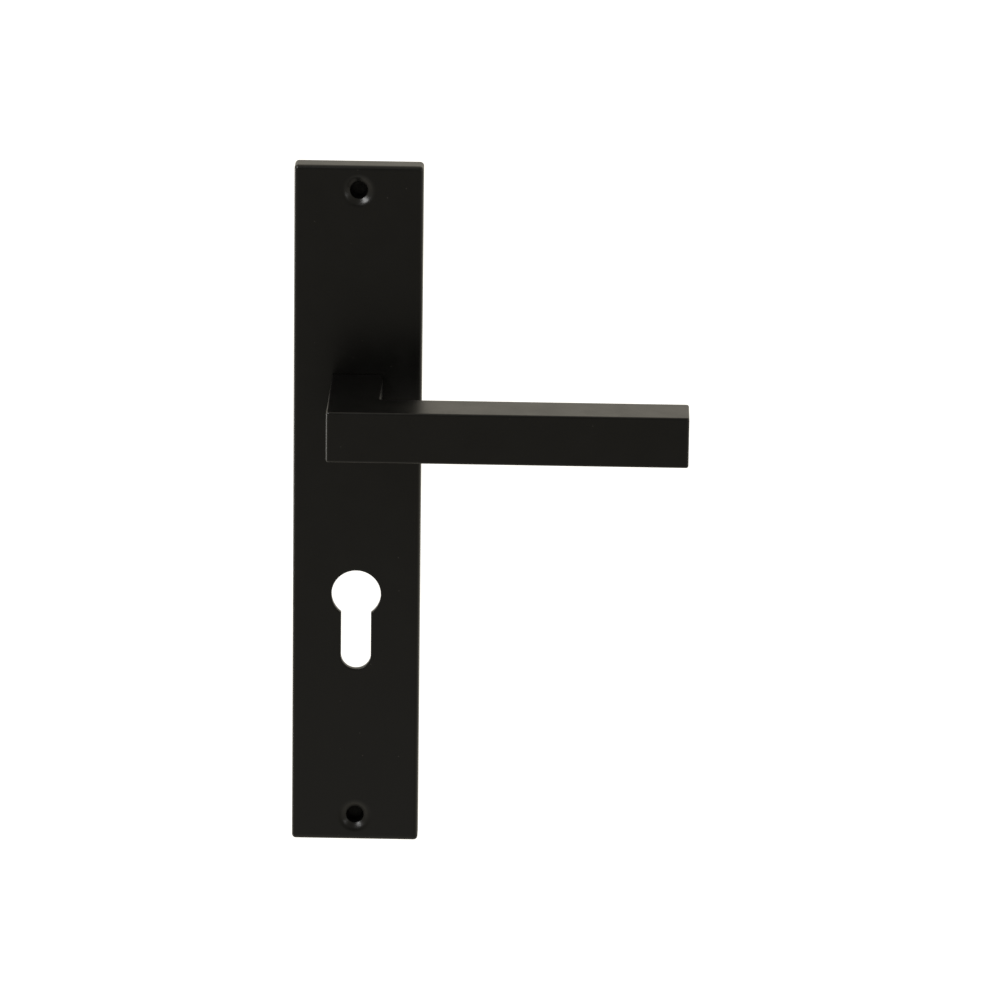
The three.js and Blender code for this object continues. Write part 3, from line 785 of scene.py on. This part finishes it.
def spring_housing():
    """The square cup round the coil, with sunk screw holes, pin holes and a slot for the spring's leg."""
    mesh = bmesh.new()
    front, back = housing_low.y, housing_high.y
    floor_back = front + HOUSING_FLOOR
    outer = rectangle((housing_low.x, housing_low.z), (housing_high.x, housing_high.z), HOUSING_CORNER)
    profile = [(0.6, back), (0, back, 0.4), (0, front, 0.2), (0.6, front)]
    outer_back, outer_front = sweep(mesh, outer, softened(profile))
    profile = [(HOUSING_HOLLOW + 0.12, back), (HOUSING_HOLLOW, back, 0.12), (HOUSING_HOLLOW, floor_back, 0.5)]
    profile += [(HOUSING_HOLLOW - 1, floor_back)]
    rim, floor = sweep(mesh, circle(), softened(profile))
    profile = [(0.4, floor_back), (0, floor_back), (0, front), (0.4, front)]
    bore_back, bore_front = sweep(mesh, circle(BORE), softened(profile))
    cap(mesh, floor, bore_back)

    screw_low, screw_high = span("housing_screw_1")
    head, seat = (screw_high.x - screw_low.x) / 2 + GAP, screw_high.y - HEAD_HEIGHT - HEAD_PLAY
    pocket = [(head + 0.3, back), (head, back, 0.2), (head, seat, 0.1)]
    pocket += [(PILOT_HOLE, seat), (PILOT_HOLE, front)]
    pin_hole = [(PIN_HOLE + 0.06, back), (PIN_HOLE, back - 0.06), (PIN_HOLE, front)]
    holes = [(x, z, softened(pocket)) for x, z in screw_places()]
    holes += [(x, z, pin_hole) for x, z in pin_places()]
    backs, fronts = [outer_back, rim], [outer_front, bore_front]
    for x, z, profile in holes:
        top, bottom = sweep(mesh, circle(x=x, z=z, steps=SMALL), profile)
        backs.append(top)
        fronts.append(bottom)
    cap(mesh, *backs)
    cap(mesh, *fronts)

    slot = bmesh.new()
    slot_low, slot_high = (-LEG_SLOT, housing_low.z - 2 * PAST), (LEG_SLOT, PAST - HOUSING_HOLLOW)
    prism(slot, rectangle(slot_low, slot_high, 0.1), [(0, floor_back), (0, back + PAST)])
    piece("spring_housing", combined(mesh, "DIFFERENCE", [slot]))


def plus(x, z, length, width):
    """The outline of a cross recess."""
    a, b = length / 2, width / 2
    quarter, corners = [(a, -b), (a, b), (b, b)], []
    for _ in range(4):
        corners += quarter
        quarter = [(-q, p) for p, q in quarter]
    return moved([(x + p, z + q) for p, q in corners])


def housing_screw(node, x, z):
    """A pan-head screw with a cross recess, and rings for its thread."""
    low, high = span(node)
    head = (high.x - low.x) / 2
    seat, top = high.y - HEAD_HEIGHT, high.y - SLIVER
    mesh = bmesh.new()
    thread = ridges(SHANK, low.y + 0.3, seat - 0.3, SCREW_PITCH, 0.2)
    profile = [(0.5, low.y), (0.85, low.y + 0.25), *thread, (SHANK, seat), (head - 0.1, seat)]
    profile += [(head, seat + 0.15), (head, seat + 0.5)]
    profile += arc(head - HEAD_ROUNDING, high.y - 0.6, HEAD_ROUNDING, 0, 60, 4)[1:] + [(HEAD_TOP, top)]
    tip, face = sweep(mesh, circle(x=x, z=z, steps=SMALL), profile)
    recess = [(0, top), (0.12, high.y - 0.5), (0.2, high.y - 0.62)]
    mouth, floor = sweep(mesh, plus(x, z, *SCREW_CROSS), recess)
    cap(mesh, tip)
    cap(mesh, face, mouth)
    cap(mesh, floor)
    piece(node, mesh)


def stop_pin(node):
    """A dowel with a chamfered front end and a rounded back end."""
    low, high = span(node)
    x, z, radius = (low.x + high.x) / 2, (low.z + high.z) / 2, (high.x - low.x) / 2
    chamfer = 0.3
    profile = [(radius - chamfer, low.y), (radius, low.y + chamfer), (radius, high.y, 0.4), (0.3, high.y)]
    piece(node, turned(softened(profile, steps=6), x, z, SMALL, closed=False))


def rotated(points, angle):
    """Points turned by an angle in degrees from +Z towards +X."""
    c, s = math.cos(math.radians(angle)), math.sin(math.radians(angle))
    return [(x * c + z * s, z * c - x * s) for x, z in points]


STAMPED_EDGE = 0.16
FLARE_TRIM = 0.35  # how far the arm's foot on the disc falls short of the flare's full width
FLARE_END = (0.45, 3.4)  # the flare's other corner, from the arm's side and from the foot


def drive_cam():
    """The stamped plate on the spigot's flats, with an arm for the spring's leg and the stops."""
    meet = math.degrees(math.asin((CAM_ARM + ARM_FLARE - FLARE_TRIM) / CAM_DISC))
    disc = [polar(CAM_DISC, meet + (360 - 2 * meet) * i / ROUND) for i in range(ROUND + 1)]
    tip = arc(0, CAM_REACH - CAM_ARM, CAM_ARM, 180, 0, 24)
    flare_x, flare_z = CAM_ARM + FLARE_END[0], CAM_DISC - ARM_FLARE + FLARE_END[1]
    arm = [(-flare_x, flare_z), *tip, (flare_x, flare_z)]
    outer = moved(rotated(disc + arm, arm_rest))

    def bore(inset):
        level = SPIGOT_FLAT + TURNING_PLAY + inset
        return [(x, max(-level, min(level, z))) for x, z in circle(SPIGOT + TURNING_PLAY)(inset)]

    front, back = cam_low.y, cam_high.y
    edge = STAMPED_EDGE
    profile = [(edge, back), (0, back, edge), (0, front, edge), (edge, front)]
    mesh = bmesh.new()
    leg_x, leg_z = polar(COIL_RADIUS, arm_rest)
    holes = [bore, circle(LEG_HOLE, leg_x, leg_z, steps=SMALL)]
    backs, fronts = zip(*[sweep(mesh, outline, softened(profile, edge)) for outline in [outer, *holes]])
    cap(mesh, *backs)
    cap(mesh, *fronts)
    piece("drive_cam", mesh)


COIL_STEPS = 220
WIRE_SIDES = 20
WIRE_CHAMFER = 0.12
FIXED_LEG = 2.4
LEG_STEPS = 6


def spring_line(start_y, end_y, turns):
    """The middle of the wire: up the fixed leg, round the coil, and back along the turning leg."""
    low, high = span("return_spring")
    line = [Vector((0, start_y, low.z + FIXED_LEG * i / LEG_STEPS)) for i in range(LEG_STEPS)]
    line.append(Vector((0, start_y, -COIL_RADIUS - WIRE)))
    for i in range(3, COIL_STEPS - 2):
        x, z = polar(COIL_RADIUS, 180 + 360 * turns * i / COIL_STEPS)
        line.append(Vector((x, start_y + (end_y - start_y) * i / COIL_STEPS, z)))
    x, z = polar(COIL_RADIUS, arm_rest)
    bend_end, middle = end_y + WIRE, (end_y + high.y) / 2 + 0.4
    return line + [Vector((x, y, z)) for y in (end_y + 0.35, bend_end, middle, high.y)]


def return_spring():
    """The torsion spring: a leg from the housing's slot, the coil, and a leg into the cam's arm."""
    start_y = housing_low.y + HOUSING_FLOOR + GAP + WIRE
    turns = (arm_rest + 360 + 180) / 360
    end_y = start_y + COIL_PITCH * turns
    line = spring_line(start_y, end_y, turns)
    mesh = bmesh.new()
    rings = []
    side = Vector((0, 1, 0))
    for i, here in enumerate(line):
        along = (line[min(i + 1, len(line) - 1)] - line[max(i - 1, 0)]).normalized()
        side = (side - along * side.dot(along)).normalized()
        other = along.cross(side)
        chamfer = WIRE_CHAMFER if i in (0, len(line) - 1) else 0
        turn = arc(0, 0, 1, 0, 360, WIRE_SIDES)[:-1]
        rings.append([mesh.verts.new(here + (side * c + other * s) * (WIRE - chamfer)) for c, s in turn])
    for one, two in zip(rings, rings[1:]):
        for k in range(WIRE_SIDES):
            after = (k + 1) % WIRE_SIDES
            mesh.faces.new((one[k], one[after], two[after], two[k]))
    cap(mesh, rings[0])
    cap(mesh, rings[-1])
    spring = piece("return_spring", mesh, rides=False)
    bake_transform(spring)


# ---------------------------------------------------------------- washers, ring and screw retainers

WASHER_PLAY = 0.25
WAVE_THICKNESS = 0.25
WAVE_HEIGHT = 0.2
WAVES = 3
RING_OUTSIDE = 9.1
RING_INSIDE = 6.85
RING_MOUTH = 2.2  # half its width
RING_EDGE = 0.12
EAR = 2.0
EAR_ANGLE = 22  # from the mouth's middle to an ear's
EAR_EYE = 0.8
RING_STEPS = 60
RETAINER_CROSS = (4.8, 0.4)  # its length and width
DIMPLE = 0.25


def thrust_washer():
    """A flat stamped washer."""
    low, high = span("thrust_washer")
    hole = SPIGOT + WASHER_PLAY
    section = [(hole, low.y), (high.x, low.y), (high.x, high.y), (hole, high.y)]
    piece("thrust_washer", turned(softened(section, 0.1, closed=True)))


def wave_washer():
    """A thin spring washer that runs up and down three times in its turn."""
    low, high = span("wave_washer")
    middle = (low.y + high.y) / 2
    inner, outer = SPIGOT + WASHER_PLAY, high.x
    front, back = -WAVE_THICKNESS / 2, WAVE_THICKNESS / 2
    section = [(inner, front), (outer, front), (outer, back), (inner, back)]
    mesh = turned(softened(section, 0.06, closed=True), steps=2 * ROUND)
    for vertex in mesh.verts:
        vertex.co.y += middle + WAVE_HEIGHT * math.cos(WAVES * math.atan2(vertex.co.x, vertex.co.z))
    piece("wave_washer", mesh)


def ring_outline():
    """The open ring with an ear on each side of its mouth, as one closed line."""
    ear_x, ear_z = polar(RING_OUTSIDE, EAR_ANGLE)
    ear_end = EAR_ANGLE + math.degrees(2 * math.asin(EAR / 2 / RING_OUTSIDE))
    end_x, end_z = polar(RING_OUTSIDE, ear_end)
    drop = math.sqrt(EAR**2 - (ear_x - RING_MOUTH) ** 2)
    start = math.degrees(math.atan2(-drop, RING_MOUTH - ear_x)) + 360
    end = math.degrees(math.atan2(end_z - ear_z, end_x - ear_x))
    lip = math.degrees(math.asin(RING_MOUTH / RING_INSIDE))
    shares = [i / RING_STEPS for i in range(RING_STEPS + 1)]
    right = arc(ear_x, ear_z, EAR, start, end, 24)
    right += [polar(RING_OUTSIDE, ear_end + (180 - ear_end) * share) for share in shares[1:]]
    bore = [polar(RING_INSIDE, 180 - (180 - lip) * share) for share in shares]
    outline = right + [(-x, z) for x, z in reversed(right[:-1])]
    return outline + [(-x, z) for x, z in reversed(bore)] + bore[1:]


def retaining_ring():
    """The ring in the spigot's groove, stamped from sheet, with an eye through each ear."""
    low, high = span("retaining_ring")
    edge = RING_EDGE
    profile = [(edge, high.y), (0, high.y, edge), (0, low.y, edge), (edge, low.y)]
    ear_x, ear_z = polar(RING_OUTSIDE, EAR_ANGLE)
    eyes = [circle(EAR_EYE, x, ear_z, steps=SMALL) for x in (-ear_x, ear_x)]
    outlines = [moved(ring_outline()), *eyes]
    mesh = bmesh.new()
    backs, fronts = zip(*[sweep(mesh, outline, softened(profile, edge)) for outline in outlines])
    cap(mesh, *backs)
    cap(mesh, *fronts)
    piece("retaining_ring", mesh)


def screw_retainer(node):
    """A nylon disc, with a cross scored in its back and a dimple in front where the screw goes through."""
    low, high = span(node)
    z, radius = (low.z + high.z) / 2, high.x
    mesh = bmesh.new()
    profile = [(0.5, low.y + DIMPLE), (1.3, low.y, 0.3), (radius, low.y, 0.15)]
    profile += [(radius, high.y, 0.15), (radius - 0.5, high.y)]
    dimple, rim = sweep(mesh, circle(z=z), softened(profile))
    mouth, floor = sweep(mesh, plus(0, z, *RETAINER_CROSS), [(0, high.y), (0.05, high.y - 0.4)])
    cap(mesh, dimple)
    cap(mesh, rim, mouth)
    cap(mesh, floor)
    piece(node, mesh)


# ---------------------------------------------------------------- the assembly

backplate()
lever_handle()
spindle()
grub_screw()
neck_bush()
spring_guide()
spring_housing()
for number, (screw_x, screw_z) in enumerate(screw_places(), 1):
    housing_screw(f"housing_screw_{number}", screw_x, screw_z)
stop_pin("stop_pin_level")
stop_pin("stop_pin_down")
drive_cam()
return_spring()
thrust_washer()
wave_washer()
retaining_ring()
screw_retainer("screw_retainer_upper")
screw_retainer("screw_retainer_lower")

# ---------------------------------------------------------------- camera, floor and light

AIM = Vector((0.05054, plate_front * MM, -0.03624))  # what the view is centred on
AZIMUTH, ELEVATION, ROLL = 0.797, 16.56, 0.737
DISTANCE = 2.396
LENS = 244.6
SENSOR = 36.0
FARTHEST_SEEN = 100


def camera():
    """The photograph's view, as a fit to its edges found it."""
    azimuth, elevation, roll = map(math.radians, (AZIMUTH, ELEVATION, ROLL))
    flat = math.cos(elevation)
    away = Vector((math.sin(azimuth) * flat, -math.cos(azimuth) * flat, math.sin(elevation)))
    across = Vector((math.cos(azimuth), math.sin(azimuth), 0))
    up = away.cross(across)
    right = across * math.cos(roll) + up * math.sin(roll)
    data = bpy.data.cameras.new("camera")
    data.lens, data.sensor_width, data.clip_end = LENS, SENSOR, FARTHEST_SEEN
    obj = bpy.data.objects.new("camera", data)
    turn = Matrix((right, away.cross(right), away)).transposed().to_4x4()
    obj.matrix_world = Matrix.Translation(AIM + away * DISTANCE) @ turn
    bpy.context.scene.collection.objects.link(obj)
    bpy.context.scene.camera = obj


FLOOR_BELOW = 2.6  # from the plate's lower end down to the floor, so that no camera is under it
FLOOR_SIZE = 40.0
FLOOR_GREY = 0.85
FLOOR_GLOW = 0.8


def floor():
    """A plain white floor, which only the camera sees, so that the object's underside stays dark."""
    z = plate_low.z * MM - FLOOR_BELOW
    s = FLOOR_SIZE / 2
    data = bpy.data.meshes.new("floor")
    data.from_pydata([(-s, -s, z), (s, -s, z), (s, s, z), (-s, s, z)], [], [(0, 1, 2, 3)])
    material = bpy.data.materials.new("floor_white")
    material.use_nodes = True
    shader = material.node_tree.nodes["Principled BSDF"]
    shader.inputs["Base Color"].default_value = (FLOOR_GREY, FLOOR_GREY, FLOOR_GREY, 1)
    shader.inputs["Roughness"].default_value = 0.9
    shader.inputs["Emission Color"].default_value = (1, 1, 1, 1)
    shader.inputs["Emission Strength"].default_value = FLOOR_GLOW
    data.materials.append(material)
    obj = bpy.data.objects.new("floor", data)
    bpy.context.scene.collection.objects.link(obj)
    obj.visible_glossy = False
    obj.visible_diffuse = False


# Each lamp's direction from the object's middle, its distance and its side in metres, and its strength.
LAMPS = {
    "lamp_left": ((-0.54, -0.51, 0.67), 0.865, 0.32, 11),
    "lamp_right": ((0.77, -0.62, 0.15), 1.2, 0.25, 2.5),
    "lamp_back_left": ((-0.85, 0.42, -0.12), 1.2, 0.5, 3),
    "lamp_back_right": ((0.85, 0.42, 0.10), 1.2, 0.3, 3),
    "lamp_low": ((-0.1, -0.72, -0.62), 0.7, 0.45, 0.12),
}


def softbox(name, direction, distance, size, strength):
    """A square lamp that faces the object's middle, and is as bright at one strength at any size."""
    middle = Vector((0, plate_front * MM, (plate_low.z + plate_high.z) / 2 * MM))
    data = bpy.data.lights.new(name, "AREA")
    data.size = size
    data.energy = strength * math.pi * size**2
    obj = bpy.data.objects.new(name, data)
    towards = Vector(direction).normalized()
    turn = towards.to_track_quat("Z", "Y").to_matrix().to_4x4()
    obj.matrix_world = Matrix.Translation(middle + towards * distance) @ turn
    bpy.context.scene.collection.objects.link(obj)


WARM = (1.0, 0.94, 0.80)
TOWARDS_WALL = (0, 0.5, -0.15)
BESIDE = 0.53  # a ray's place on the ramp is this plus its direction's dot product with TOWARDS_WALL
# Places on the ramp, and how bright the room is there.
ROOM_LEVELS = ((0.01, 0.07), (0.035, 0.235), (0.09, 0.24), (0.28, 0.38), (0.53, 0.6), (0.83, 0.72))


def world():
    """White to the camera. Other rays see a bright wall behind and a dim room in front, which is darkest
    a little above the level."""
    data = bpy.data.worlds.new("studio")
    data.use_nodes = True
    tree = data.node_tree
    nodes, links = tree.nodes, tree.links
    to_wall = nodes.new("ShaderNodeVectorMath")
    to_wall.operation = "DOT_PRODUCT"
    links.new(nodes.new("ShaderNodeTexCoord").outputs["Generated"], to_wall.inputs[0])
    to_wall.inputs[1].default_value = TOWARDS_WALL
    shifted = nodes.new("ShaderNodeMath")
    links.new(to_wall.outputs["Value"], shifted.inputs[0])
    shifted.inputs[1].default_value = BESIDE
    ramp = nodes.new("ShaderNodeValToRGB")
    links.new(shifted.outputs[0], ramp.inputs["Fac"])
    stops = ramp.color_ramp.elements
    stops.remove(stops[1])
    stops[0].position = ROOM_LEVELS[0][0]
    for position, level in ROOM_LEVELS:
        stop = stops[0] if position == ROOM_LEVELS[0][0] else stops.new(position)
        stop.color = tuple(level * c for c in WARM) + (1,)
    to_camera = nodes.new("ShaderNodeMix")
    to_camera.data_type = "RGBA"
    links.new(nodes.new("ShaderNodeLightPath").outputs["Is Camera Ray"], to_camera.inputs["Factor"])
    links.new(ramp.outputs["Color"], to_camera.inputs[MIX_FIRST])
    to_camera.inputs[MIX_SECOND].default_value = (1, 1, 1, 1)
    links.new(to_camera.outputs[MIX_RESULT], nodes["Background"].inputs["Color"])
    bpy.context.scene.world = data


camera()
floor()
world()
for lamp, settings in LAMPS.items():
    softbox(lamp, *settings)
bpy.context.scene.view_settings.view_transform = "Standard"
